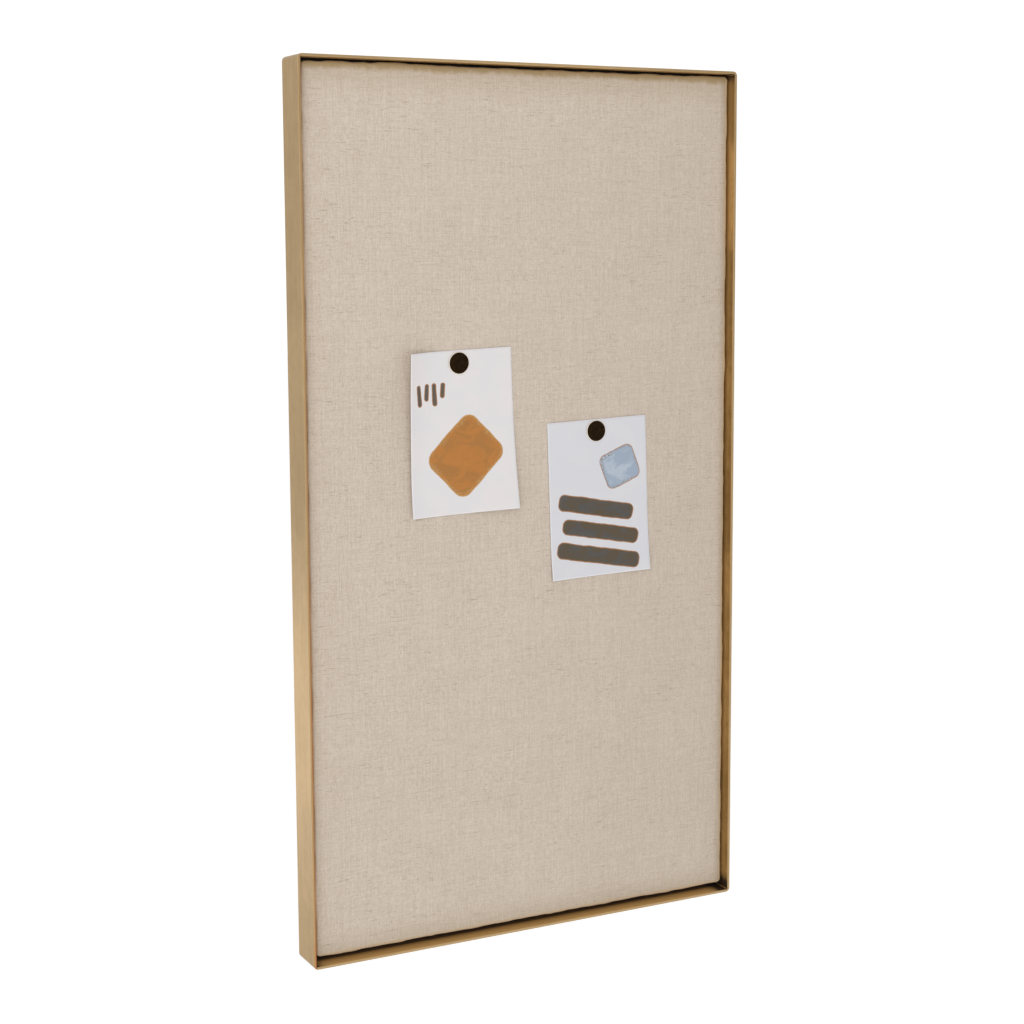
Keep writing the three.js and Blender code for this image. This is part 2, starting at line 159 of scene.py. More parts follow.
def feedBump(material, layers):
    # layers are (height, distance in metres), laid one over the other
    normal = None
    for height, distance in layers:
        values = {"Height": height, "Distance": distance, "Strength": 1.0}
        if normal:
            values["Normal"] = normal
        normal = height.make("Bump", None, values)
    feed(material, "Normal", normal)


def axesOf(place):
    return place.make("SeparateXYZ", None, {0: place}, (0, 1, 2))


def grain(place, scale, detail=2.0, roughness=0.5, distortion=0.0):
    # a scale for each axis draws the grain out along the axis that has the least
    if isinstance(scale, tuple):
        place = place.make("VectorMath", {"operation": "MULTIPLY"}, {0: place, 1: scale})
        scale = 1.0
    values = {"Scale": scale, "Detail": detail, "Roughness": roughness, "Distortion": distortion}
    return place.make("TexNoise", None, {"Vector": place, **values})


def mixed(factor, first, second):
    # inputs 6 and 7 and output 2 are the ones that hold colours
    settings = {"data_type": "RGBA", "blend_type": "MIX"}
    return factor.make("Mix", settings, {0: factor, 6: first, 7: second}, 2)


def ramp(tone, tones):
    return tone.make("ValToRGB", {"stops": tones}, {0: tone})


brassLook = {
    "tones": [(0.38, sRgb(152, 123, 78)), (0.5, sRgb(165, 136, 90)), (0.63, sRgb(178, 149, 104))],
    "insideDeep": sRgb(142, 106, 55),
    "insideLight": sRgb(202, 159, 96),
    # shares of the inner patina and of the painted light and shade laid over it
    "patinaAndPaintedLight": {"paintedShadeAtTop": 0.3, "paintedLightDeep": 0.6, "lip": 0.15, "paintedLightHigh": 0.45, "dark": 0.42, "over": 0.2, "paintedLightUnderfoot": 0.5},
    "wornAndHighlight": sRgb(190, 161, 118),
    "bright": sRgb(222, 190, 140),
    "copper": sRgb(190, 118, 60),
    "inlay": sRgb(168, 92, 28),
    "burntAndPaintedShade": sRgb(40, 29, 18),
    "singed": sRgb(104, 76, 42),
    "fleck": sRgb(96, 72, 44),
    "strength": {"singe": 0.6, "burn": 0.92, "bright": 0.55, "copper": 0.5, "fleck": 0.3, "scale": 0.8},
    "drawn": (12.0, 260.0),
    "brushed": (60.0, 1500.0),
    "burnReach": 13 * mm,
    "burnRagged": 14 * mm,
}

# Each pair is where a layer starts and where it's whole
brassBands = {
    "inner": (0.7 * mm, 0.2 * mm),
    "beforePanel": (linenHigh.y + 5 * mm, linenHigh.y + 2 * mm),
    "besidePanel": (linenLow.y + 5 * mm, linenLow.y + 11 * mm),
    "beforeTabs": (-8 * mm, -9.5 * mm),
    "belowTop": (-60 * mm, -115 * mm),
    "paintedLightDeep": (boardBox["lip"] + 3 * mm, linenLow.y + 5 * mm),
    "overhead": (boardBox["top"] - 6 * mm, boardBox["top"] - 4 * mm),
    "underfoot": (boardBox["bottom"] + 6 * mm, boardBox["bottom"] + 4 * mm),
    "footRight": (-0.15, 0.05),
    "halfway": (-0.1, 0.1),
    "singe": (8 * mm, -2 * mm),
    "burn": (1.5 * mm, -4 * mm),
    "wornAndHighlight": (1.6 * mm, 0.24 * mm),
    "copperHigh": (34 * mm, 22 * mm),
    "copperWide": (2.6 * mm, 1.4 * mm),
    "inlay": (1.3 * mm, 0.65 * mm),
    "inlayLip": (1.6 * mm, 0.6 * mm),
    "inlayLower": (0.42, -0.2),
}


def lengthwise(scales, along):
    # the first scale along the strip and the second across it
    return tuple(scales[0] if axis == along else scales[1] for axis in range(3))


def brassFinish(name, along):
    # along is the way that the strip was drawn and brushed: 0 for X, 2 for Z
    look = brassLook
    bands = brassBands
    material, place = newFinish(name, {})
    x, y, z = axesOf(place)
    cloud = grain(place, 6.0, 3.0, 0.55)
    mottle = grain(place, 70.0, 4.0, 0.6, 0.4)
    streak = grain(place, lengthwise(look["drawn"], along), 3.0, 0.55)
    brush = grain(place, lengthwise(look["brushed"], along))
    powder = grain(place, 1300.0, 2.0, 0.7)
    colour = ramp(cloud * 0.34 + mottle * 0.3 + streak * 0.18 + powder * 0.18, look["tones"])

    # inner faces keep a dull brown patina, with painted shade that darkens them near the top and painted
    # light that pales them deep in the recess, where shade falls
    fromMidX = abs(x)
    fromMidZ = abs(z - boardMid.z)
    past = (fromMidX - innerHalf.x).above(0.0) + (fromMidZ - innerHalf.z).above(0.0)
    inner = past.ease(*bands["inner"])
    inside = inner * y.ease(*bands["beforePanel"])
    paintedShadeBesidePanel = inner * y.ease(*bands["besidePanel"]) * y.ease(*bands["beforeTabs"])
    share = look["patinaAndPaintedLight"]
    patinaAndPaintedLight = (cloud * 0.55 + mottle * 0.2 + powder * 0.25).ease(0.36, 0.62)
    belowTop = (z - boardBox["top"]).ease(*bands["belowTop"])
    patinaAndPaintedLight = patinaAndPaintedLight * (share["paintedShadeAtTop"] + (1 - share["paintedShadeAtTop"]) * belowTop)
    patinaAndPaintedLight = patinaAndPaintedLight + share["paintedLightDeep"] * y.ease(*bands["paintedLightDeep"]) - share["lip"]

    # painted light and shade, after how the light falls on each face: the sides are paler below their top end
    # and darker along the middle, top and bottom are paler
    paintedLightHigh = z.ease(-0.15, -0.1) * z.ease(0.0, -0.03)
    dark = z.ease(-0.22, -0.27) * z.ease(-0.53, -0.44)
    overhead = z.ease(*bands["overhead"])
    patinaAndPaintedLight = patinaAndPaintedLight + share["paintedLightHigh"] * paintedLightHigh - share["dark"] * dark + share["over"] * overhead
    toRight = share["paintedLightUnderfoot"] + (1 - share["paintedLightUnderfoot"]) * x.ease(*bands["footRight"])
    patinaAndPaintedLight = patinaAndPaintedLight + z.ease(*bands["underfoot"]) * toRight
    colour = mixed(inside, colour, mixed(patinaAndPaintedLight, look["insideDeep"], look["insideLight"]))

    # the heat of the corner welds, ragged at its edge, least at the left and at the top
    awayX = innerHalf.x - fromMidX
    awayZ = innerHalf.z - fromMidZ
    away = (awayX * awayX + awayZ * awayZ) ** 0.5
    upper = (z - boardMid.z).ease(*bands["halfway"])
    heat = (x.ease(*bands["halfway"]) * 0.7 + 0.3) * (1 - 0.5 * upper)
    ragged = away + (mottle - 0.5) * look["burnRagged"] - heat * look["burnReach"]
    singe = ragged.ease(*bands["singe"]) * inside
    burn = ragged.ease(*bands["burn"]) * inside
    strength = look["strength"]
    colour = mixed(singe * strength["singe"], colour, look["singed"])
    colour = mixed(burn * strength["burn"], colour, look["burntAndPaintedShade"])

    # the front arrises are rubbed bright with a painted highlight over them, the top's middle most, and the
    # lower left one is rubbed to copper
    fromLip = y - boardBox["lip"]
    wearAndHighlight = (fromLip.ease(*bands["wornAndHighlight"]) * (0.3 + 0.8 * streak)).below(1.0)
    colour = mixed(wearAndHighlight, colour, look["wornAndHighlight"])
    midTop = overhead * x.ease(-0.3, -0.1) * x.ease(0.2, 0.08)
    colour = mixed(midTop * wearAndHighlight * strength["bright"], colour, look["bright"])
    fromLeft = x - boardBox["left"]
    nearFoot = (z - boardBox["bottom"]).ease(*bands["copperHigh"]) * fromLeft.ease(*bands["copperWide"])
    colour = mixed(nearFoot * wearAndHighlight * strength["copper"], colour, look["copper"])

    # the left lip is rubbed through to red brass along its inner arris, more so lower down
    innerLine = abs(fromLeft - strip + 0.3 * mm).ease(*bands["inlay"]) * fromLip.ease(*bands["inlayLip"])
    lower = (z - boardMid.z).ease(*bands["inlayLower"]) * 0.75 + 0.25
    innerLine = innerLine * lower * (0.44 + 0.56 * streak)
    colour = mixed(innerLine.below(1.0), colour, look["inlay"])
    fleck = grain(place, 900.0, 2.0, 0.6).ease(0.69, 0.76)
    colour = mixed(fleck * strength["fleck"], colour, look["fleck"])

    # painted shade: where the panel hides the strip it is painted dark, dull and rough, so no light from
    # behind shows in the gap
    colour = mixed(paintedShadeBesidePanel * strength["scale"], colour, look["burntAndPaintedShade"])
    feed(material, "Base Color", colour)
    feed(material, "Metallic", (0.88 - 0.6 * inside) * (1 - paintedShadeBesidePanel))
    feed(material, "Roughness", 0.33 + 0.1 * mottle + 0.06 * brush + 0.23 * inside + 0.4 * paintedShadeBesidePanel)
    feedBump(material, [(cloud, 0.8 * mm), (mottle, 0.06 * mm), (brush, 0.008 * mm)])
    return material


weldLook = {
    "crown": sRgb(176, 134, 88),
    "edge": sRgb(58, 42, 26),
    "scale": sRgb(88, 84, 80),
}


def weldFinish():
    material, place = newFinish("weldBead", {"Metallic": 0.85})
    patch = grain(place, 420.0, 4.0, 0.6)
    # painted highlight: the bead is painted paler along its crown than at its dark edges
    crown = place.make("Attribute", {"attribute_name": "crown"}, None, 2).ease(0.78, 0.99)
    colour = mixed(crown * (0.35 + 0.9 * patch).below(1.0), weldLook["edge"], weldLook["crown"])
    colour = mixed(patch.ease(0.6, 0.72) * 0.6, colour, weldLook["scale"])
    feed(material, "Base Color", colour)
    feed(material, "Roughness", 0.42 + 0.3 * patch)
    feedBump(material, [(patch, 0.08 * mm)])
    return material


# Undyed linen: its warp runs upright. Dust and painted shadow at an edge have where they start, where they're
# whole and their share
linenLook = {
    "tones": [(0.425, sRgb(192, 176, 159)), (0.5, sRgb(205, 190, 174)), (0.575, sRgb(214, 202, 188))],
    "slubAndPaintedShade": sRgb(158, 140, 120),
    "speck": sRgb(118, 98, 74),
    "dust": sRgb(160, 134, 90),
    "paintedBrassGlow": sRgb(202, 172, 124),
    "topFade": (40 * mm, 6 * mm, 0.22),
    "top": (9.5 * mm, 2 * mm, 0.88),
    "foot": (30 * mm, 2 * mm, 0.2),
    "ragged": 12 * mm,
    "thread": 0.8 * mm,
    "pullSlant": 0.6,
}


def linenFinish():
    look = linenLook
    sheen = {"Sheen Weight": 0.1, "Sheen Roughness": 0.5}
    material, place = newFinish("linenWeave", {"Roughness": 0.92, **sheen})
    x, y, z = axesOf(place)
    warp = grain(place, (1250.0, 1250.0, 125.0), 2.0, 0.6)
    warpLong = grain(place, (620.0, 620.0, 15.0), 2.0, 0.6)
    weft = grain(place, (155.0, 155.0, 1100.0), 2.0, 0.6)
    weftLong = grain(place, (22.0, 60.0, 760.0), 2.0, 0.6)
    nub = grain(place, 900.0, 2.0, 0.65)
    cloud = grain(place, 16.0, 3.0, 0.6)
    tone = warp * 0.24 + warpLong * 0.15 + weft * 0.15 + weftLong * 0.11 + nub * 0.3 + cloud * 0.05
    colour = ramp(tone, look["tones"])
    # painted shade: the cloth is painted darker towards the right, where less light falls
    colour = mixed(x.ease(-0.04, 0.25) * 0.09, colour, look["slubAndPaintedShade"])

    # thick, dark places in single threads, gathered in patches
    patch = grain(place, 34.0).ease(0.34, 0.62)
    weftSlub = grain(place, (95.0, 95.0, 930.0), 1.0, 0.5).ease(0.63, 0.76) * patch
    warpSlub = grain(place, (980.0, 980.0, 90.0), 1.0, 0.5).ease(0.66, 0.79) * patch
    colour = mixed(weftSlub * 0.56, colour, look["slubAndPaintedShade"])
    colour = mixed(warpSlub * 0.32, colour, look["slubAndPaintedShade"])
    speck = grain(place, 640.0, 0.0, 0.5).ease(0.82, 0.87)
    colour = mixed(speck * 0.5, colour, look["speck"])

    # dust along the rolled edges, with painted shadow where the top rail shades the cloth, deepest at the top
    ragged = (grain(place, 60.0, 5.0, 0.75) - 0.5) * look["ragged"]
    fromTop = linenHigh.z - z
    fromBottom = z - linenLow.z
    fromSide = linenHigh.x - abs(x)
    rightward = x.ease(-0.1, 0.1)
    for fromEdge, edge in ((fromTop, "topFade"), (fromTop, "top"), (fromBottom, "foot")):
        begin, whole, most = look[edge]
        colour = mixed((fromEdge + ragged).ease(begin, whole) * most, colour, look["dust"])
    # painted shade with some dust beside the sides, and a painted warm glow of light thrown from the brass
    # along the sides and foot
    besideDustAndShade = (fromSide + ragged * 0.5).ease(12 * mm, 1 * mm) * (0.08 + 0.27 * rightward)
    colour = mixed(besideDustAndShade, colour, look["dust"])
    sidePaintedGlow = (fromSide + ragged * 0.12).ease(3.2 * mm, 1.4 * mm) * (0.15 + 0.7 * rightward)
    footPaintedGlow = (fromBottom + ragged * 0.12).ease(4 * mm, 2 * mm) * 0.5
    colour = mixed(sidePaintedGlow.above(footPaintedGlow), colour, look["paintedBrassGlow"])
    feed(material, "Base Color", colour)

    turns = 2 * math.pi / look["thread"]
    weave = (x * turns).maths("SINE", x * turns) * (z * turns).maths("SINE", z * turns)
    thick = warp + weft + weftSlub + warpSlub

    # shallow slanting pulls where the cloth is drawn over the side edges
    slanted = place.make("Mapping", None, {0: place, 2: (0.0, look["pullSlant"], 0.0)})
    pull = grain(slanted, (9.0, 9.0, 150.0)) * fromSide.ease(60 * mm, 6 * mm)
    feedBump(material, [(pull, 0.5 * mm), (thick, 0.06 * mm), (weave, 0.04 * mm)])
    return material


def woolFinish():
    material, place = newFinish("feltedWadding", {"Roughness": 1.0, "Sheen Weight": 0.3})
    fibre = grain(place, (900.0, 300.0, 420.0), 5.0, 0.7, 1.5)
    feed(material, "Base Color", mixed(fibre, sRgb(216, 209, 196), sRgb(240, 236, 228)))
    feedBump(material, [(fibre, 0.3 * mm)])
    return material


corkLook = {
    "tones": [(0.0, sRgb(112, 72, 40)), (0.35, sRgb(168, 122, 76)), (1.0, sRgb(206, 164, 112))],
    "seam": sRgb(92, 60, 34),
    "granules": 420.0,
}


def corkFinish():
    material, place = newFinish("pressedCork", {"Roughness": 0.95})
    values = {"Vector": place, "Scale": corkLook["granules"], "Randomness": 1.0}
    distance, tint = place.make("TexVoronoi", None, values, (0, 1))
    colour = ramp(tint.make("SeparateColor", None, {0: tint}), corkLook["tones"])
    seam = distance.ease(0.34, 0.5)
    feed(material, "Base Color", mixed(seam * 0.6, colour, corkLook["seam"]))
    feedBump(material, [(1 - seam, 0.25 * mm)])
    return material


backLook = {
    "stain": sRgb(44, 40, 37),
    "fibre": sRgb(66, 58, 51),
    "scuff": sRgb(104, 92, 80),
    "raw": sRgb(142, 108, 72),
    "rawPale": sRgb(172, 138, 98),
    "skin": 0.35 * mm,
    "edge": (0.6 * mm, 0.2 * mm),
}


def backFinish():
    look = backLook
    material, place = newFinish("stainedFibreboard", {"Specular IOR Level": 0.35})
    x, y, z = axesOf(place)
    low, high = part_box("backing_board")
    fibre = grain(place, (520.0, 520.0, 170.0), 5.0, 0.65, 0.8)
    cloud = grain(place, 7.0, 3.0, 0.55)
    scratch = grain(place, (30.0, 60.0, 700.0), 2.0, 0.5, 0.6).ease(0.7, 0.76)
    colour = mixed(fibre.ease(0.35, 0.75), look["stain"], look["fibre"])
    colour = mixed(cloud.ease(0.5, 0.8) * 0.35, colour, look["fibre"])
    colour = mixed(scratch * 0.35, colour, look["scuff"])
    # the pockets and holes are routed through the stain into raw board
    cut = (high.y - y).ease(look["skin"], look["skin"] * 2) * (y - low.y).ease(0.0, look["skin"])
    sideEdge = (high.x - abs(x)).ease(*look["edge"])
    endEdge = (high.z - abs(z - boardMid.z) - boardMid.z).ease(*look["edge"])
    routed = cut * (1 - sideEdge.above(endEdge))
    colour = mixed(routed, colour, mixed(fibre, look["raw"], look["rawPale"]))
    feed(material, "Base Color", colour)
    feed(material, "Roughness", 0.62 + 0.2 * fibre)
    feedBump(material, [(fibre, 0.06 * mm), (cloud, 0.4 * mm)])
    return material


def zincFinish():
    material, place = newFinish("zincPlate", {"Metallic": 1.0})
    spangle = grain(place, 260.0, 4.0, 0.6, 0.5)
    brush = grain(place, (2400.0, 2400.0, 180.0))
    colour = mixed(spangle.ease(0.35, 0.7), sRgb(164, 165, 166), sRgb(204, 204, 200))
    rust = grain(place, 150.0, 4.0, 0.65).ease(0.66, 0.78)
    colour = mixed(rust * 0.4, colour, sRgb(150, 132, 104))
    feed(material, "Base Color", colour)
    feed(material, "Roughness", 0.3 + 0.18 * spangle + 0.1 * brush)
    feedBump(material, [(spangle, 0.03 * mm), (brush, 0.01 * mm)])
    return material


def steelFinish():
    material, place = newFinish("screwSteel", {"Metallic": 1.0})
    patch = grain(place, 900.0, 3.0, 0.6)
    turned = grain(place, (3200.0, 300.0, 3200.0))
    colour = mixed(patch.ease(0.35, 0.7), sRgb(138, 134, 124), sRgb(188, 184, 172))
    feed(material, "Base Color", colour)
    feed(material, "Roughness", 0.26 + 0.2 * patch)
    feedBump(material, [(turned, 0.01 * mm)])
    return material


def rubberFinish():
    material, place = newFinish("bumperRubber", {"Specular IOR Level": 0.3})
    dust = grain(place, 700.0, 4.0, 0.65)
    feed(material, "Base Color", mixed(dust.ease(0.45, 0.8) * 0.5, sRgb(27, 26, 26), sRgb(86, 82, 77)))
    feed(material, "Roughness", 0.7 + 0.25 * dust)
    feedBump(material, [(dust, 0.03 * mm)])
    return material


bronzeLook = {
    "dark": sRgb(37, 26, 14),
    "mid": sRgb(55, 41, 24),
    "rub": sRgb(238, 224, 204),
    "rings": 4200.0,
    "rimAt": (11.45 * mm, 11.6 * mm),
}


def bronzeFinish(name, node):
    # lathe marks run round each pin's own middle
    material, place = newFinish(name, {})
    mid = midOf(node)
    centred = place.make("Mapping", None, {0: place, 1: (-mid.x, -mid.y, -mid.z)})
    x, y, z = axesOf(centred)
    radius = (x * x + z * z) ** 0.5
    rings = radius.make("CombineXYZ", None, {0: radius * bronzeLook["rings"], 1: 0.0, 2: 0.0})
    turned = grain(rings, 1.0)
    patch = grain(centred, 320.0, 4.0, 0.65, 0.6)
    colour = mixed(patch.ease(0.4, 0.72), bronzeLook["dark"], bronzeLook["mid"])
    rim = radius.ease(*bronzeLook["rimAt"]) * patch.ease(0.2, 0.36)
    colour = mixed(rim, colour, bronzeLook["rub"])
    feed(material, "Base Color", colour)
    feed(material, "Metallic", 1 - rim)
    feed(material, "Roughness", 0.4 + 0.22 * patch)
    feedBump(material, [(turned, 0.008 * mm), (patch, 0.03 * mm)])
    return material


# Paper and its prints
paperLook = {
    "left": (sRgb(222, 219, 220), sRgb(226, 221, 220)),
    "right": (sRgb(213, 213, 218), sRgb(215, 214, 217)),
    "fleck": sRgb(196, 194, 192),
    "cut": sRgb(243, 241, 243),
    "wobble": 2.4,
    "line": 0.55,
    "edge": 0.25,
}

# Each ink where it's full, pooled, worn thin and at the rim
ochre = sRgb(183, 122, 62)
straw = sRgb(196, 158, 104)
stone = sRgb(98, 90, 80)
slate = sRgb(86, 84, 82)
inks = {
    "ochre": (ochre, sRgb(168, 116, 62), straw, straw),
    "stone": (stone, slate, stone, ochre),
    "umber": (sRgb(92, 81, 66), slate, stone, ochre),
    "sky": (sRgb(157, 170, 186), sRgb(178, 189, 201), stone, ochre),
}

# Plain shapes in mm from the card's middle: each one's middle, size, corner radius, turn and ink
printDesigns = {
    "left": [
        ((4, -26), (76, 66), 13, 43, "ochre"),
        ((-51, 43), (6, 24), 2.9, 4, "stone"),
        ((-41, 46), (6, 19), 2.9, -3, "stone"),
        ((-31, 43), (6, 25), 2.9, 2, "stone"),
        ((-21, 47), (6, 17), 2.9, -5, "stone"),
    ],
    "right": [
        ((-3, -66), (108, 19), 7, -12, "umber"),
        ((1, -39), (100, 18), 7, -12, "umber"),
        ((-4, -11), (98, 19), 7, -12, "umber"),
        ((28, 33), (46, 42), 9, 20, "sky"),
    ],
}


def paperFinish(name, side, shapes=()):
    material, place = newFinish(name, {"Specular IOR Level": 0.3})
    sheet, warm = paperLook[side]
    fibre = grain(place, 1500.0, 4.0, 0.7)
    colour = mixed(grain(place, 30.0).ease(0.4, 0.65), sheet, warm)
    colour = mixed(fibre.ease(0.6, 0.8) * 0.18, colour, paperLook["fleck"])
    if shapes:
        wide = cardLook["width"] / mm
        high = cardLook["height"] / mm
        own = place.make("TexCoord", None, None, 2)  # the card's UV map
        across, up = axesOf(own)[:2]
        across = (across - 0.5) * wide
        up = (up - 0.5) * high
        wobble = (grain(own, 7.0, 3.0, 0.55) - 0.5) * paperLook["wobble"]
        brush = grain(own, (5.0, 11.0, 1.0), 4.0, 0.6, 1.2)
        fine = grain(own, (60.0, 90.0, 1.0), 3.0, 0.6)
        for shape in shapes:
            colour = painted(colour, shape, across, up, wobble, brush, fine)
        # painted highlight: a pale band along the card's edges, where the cut edge catches the light
        fromEdge = (wide / 2 - abs(across)).below(high / 2 - abs(up))
        colour = mixed(fromEdge.ease(1.3, 0.5) * 0.7, colour, paperLook["cut"])
    feed(material, "Base Color", colour)
    feed(material, "Roughness", 0.74 + 0.16 * fibre)
    feedBump(material, [(fibre, 0.02 * mm)])
    return material


def painted(colour, shape, across, up, wobble, brush, fine):
    (midX, midY), (wide, high), corner, turn, ink = shape
    full, pooled, thin, rimInk = inks[ink]
    line = paperLook["line"]
    edge = paperLook["edge"]
    cosine = math.cos(math.radians(turn))
    sine = math.sin(math.radians(turn))
    sideways = (across - midX) * cosine + (up - midY) * sine
    upwards = (up - midY) * cosine - (across - midX) * sine
    pastX = (abs(sideways) - (wide / 2 - corner)).above(0.0)
    pastY = (abs(upwards) - (high / 2 - corner)).above(0.0)
    outside = (pastX * pastX + pastY * pastY) ** 0.5 - corner + wobble
    paint = mixed(brush.ease(0.42, 0.62), full, pooled)
    bare = (outside + (brush - 0.5) * 22).ease(-5.0, -1.0) * fine.ease(0.4, 0.6)
    paint = mixed(bare * 0.6, paint, thin)
    rim = abs(outside + line).ease(line * 1.4, line * 0.5)
    paint = mixed(rim * 0.7, paint, rimInk)
    return mixed(outside.ease(edge, -edge), colour, paint)


# Making pieces
def linked(name, data):
    made = bpy.data.objects.new(name, data)
    bpy.context.scene.collection.objects.link(made)
    return made


def objectFrom(bm, name):
    mesh = bpy.data.meshes.new(name)
    bm.to_mesh(mesh)
    bm.free()
    return linked(name, mesh)


def pieceFrom(bm, name, finishes, replaced=(), body="board"):
    piece = objectFrom(bm, name)
    for finish in finishes:
        piece.data.materials.append(finish)
    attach(piece, body)
    if replaced:
        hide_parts(*replaced)
    return piece


def smoothed(piece, limit=35):
    piece.data.shade_smooth()
    piece.data.set_sharp_from_angle(angle=math.radians(limit))
    return piece


def vertsOf(parts):
    return [part for part in parts if isinstance(part, bmesh.types.BMVert)]


def edgesOf(parts):
    return [part for part in parts if isinstance(part, bmesh.types.BMEdge)]


def faceOut(bm):
    bmesh.ops.recalc_face_normals(bm, faces=bm.faces[:])


def planeCut(bm, point, normal, clear=False):
    geometry = bm.verts[:] + bm.edges[:] + bm.faces[:]
    cut = bmesh.ops.bisect_plane(bm, geom=geometry, dist=near["cut"], plane_co=point, plane_no=normal,
                                 clear_outer=clear)
    return cut["geom_cut"]


def unevenness(x, z, scale, layer):
    return noise.noise(Vector((x * scale, layer, z * scale)))


def quarterTurn(steps, first=0):
    # angles from 0 to a right angle
    return [step / steps * math.pi / 2 for step in range(first, steps + 1)]


def spun(profile, middle, steps, name, finishes, replaced=(), body="board"):
    # a profile of (radius, y) points, turned about the Y axis through the middle
    bm = bmesh.new()
    points = [bm.verts.new((middle.x + radius, y, middle.z)) for radius, y in profile]
    edges = [bm.edges.new(pair) for pair in zip(points, points[1:])]
    bmesh.ops.spin(bm, geom=points + edges, cent=(middle.x, 0, middle.z), axis=(0, 1, 0),
                   angle=2 * math.pi, steps=steps, use_merge=True)
    bmesh.ops.remove_doubles(bm, verts=bm.verts[:], dist=near["spunPoint"])
    faceOut(bm)
    return smoothed(pieceFrom(bm, name, finishes, replaced, body))


def roundedFace(bm, width, height, middle, radius, steps):
    # a flat face in X and Z with round corners
    made = bmesh.ops.create_grid(bm, x_segments=1, y_segments=1, size=0.5)
    upright = Matrix.Rotation(math.pi / 2, 4, "X")
    spread = Matrix.Translation(middle) @ upright @ Matrix.Diagonal((width, height, 1, 1))
    bmesh.ops.transform(bm, matrix=spread, verts=made["verts"])
    bmesh.ops.bevel(bm, geom=made["verts"], offset=radius, offset_type="OFFSET", affect="VERTICES",
                    segments=steps, profile=0.5, material=-1)


def cutInSteps(bm, low, high, margin, step):
    # cuts a face in X and Z into cells, all but a margin round it
    for axis in (0, 2):
        first = low[axis] + margin
        last = high[axis] - margin
        count = max(1, round((last - first) / step))
        for index in range(1, count):
            point = Vector((0, 0, 0))
            normal = Vector((0, 0, 0))
            point[axis] = first + (last - first) * index / count
            normal[axis] = 1
            planeCut(bm, point, normal)


# The strip frame: one ring, ground round at its corners, then parted at the mitres
railLook = {
    "cornerRadius": 5 * mm,
    "insideRadius": 0.5 * mm,
    "cornerSteps": 8,
    "arris": 0.45 * mm,
    "arrisSteps": 3,
    "arrisAngle": 1,
    "cutStep": 14 * mm,
    "hammer": 0.10 * mm,
    "hammerScale": 26,
    "normalWeight": 80,
}


def stripRing():
    own = railLook
    bm = bmesh.new()
    width = boardBox["right"] - boardBox["left"]
    height = boardBox["top"] - boardBox["bottom"]
    middle = Vector((0, boardBox["lip"], boardMid.z))
    steps = own["cornerSteps"]
    roundedFace(bm, width, height, middle, own["cornerRadius"], steps)
    roundedFace(bm, width - 2 * strip, height - 2 * strip, middle, own["insideRadius"], steps)
    bmesh.ops.delete(bm, geom=bm.faces[:], context="FACES_ONLY")
    bmesh.ops.bridge_loops(bm, edges=bm.edges[:])
    grown = bmesh.ops.extrude_face_region(bm, geom=bm.faces[:])
    depth = boardBox["rear"] - boardBox["lip"]
    bmesh.ops.translate(bm, verts=vertsOf(grown["geom"]), vec=(0, depth, 0))
    faceOut(bm)
    arrises = []
    for edge in bm.edges:
        if len(edge.link_faces) == 2 and edge.calc_face_angle() > own["arrisAngle"]:
            arrises.append(edge)
    bmesh.ops.bevel(bm, geom=arrises, offset=own["arris"], offset_type="OFFSET", affect="EDGES",
                    segments=own["arrisSteps"], profile=0.5, material=-1)
    margin = own["cornerRadius"] + strip
    low = (boardBox["left"], 0, boardBox["bottom"])
    high = (boardBox["right"], 0, boardBox["top"])
    cutInSteps(bm, low, high, margin, own["cutStep"])
    bm.normal_update()
    for vert in bm.verts:
        dent = 0.5 + 0.5 * noise.noise(vert.co * own["hammerScale"])
        vert.co -= vert.normal * dent * own["hammer"]
    return bm


def addRails(upright, level):
    ring = stripRing()
    ends = (("left", "top"), ("right", "top"), ("right", "bottom"), ("left", "bottom"))
    corners = [Vector((boardBox[side], 0, boardBox[end])) for side, end in ends]
    for index, name in enumerate(("top", "right", "bottom", "left")):
        first = corners[index]
        last = corners[(index + 1) % 4]
        along = (last - first).normalized()
        inward = Vector((along.z, 0, -along.x))
        bm = ring.copy()
        for point, normal in ((first, inward - along), (last, inward + along)):
            bmesh.ops.edgeloop_fill(bm, edges=edgesOf(planeCut(bm, point, normal, True)))
        faceOut(bm)
        finish = level if name in ("top", "bottom") else upright
        rail = smoothed(pieceFrom(bm, f"rail_{name}", [finish], [f"frame_rail_{name}"]))
        evened = rail.modifiers.new("evenNormals", "WEIGHTED_NORMAL")
        evened.keep_sharp = True
        evened.weight = railLook["normalWeight"]
    ring.free()
    print("rails made")


# Weld beads down the inner corners, laid in ripples
weldShape = {
    "leg": 2.3 * mm,
    "hollow": 1.75,
    "ripple": 0.09,
    "rippleBow": 0.4,
    "pitch": 1.25 * mm,
    "rowsPerRipple": 5,
    "columns": 12,
    "endReach": 2.4 * mm,
    "body": 0.9,
    "unsteady": 0.12,
    "unsteadyScale": 190,
    "smoothLimit": 50,
}


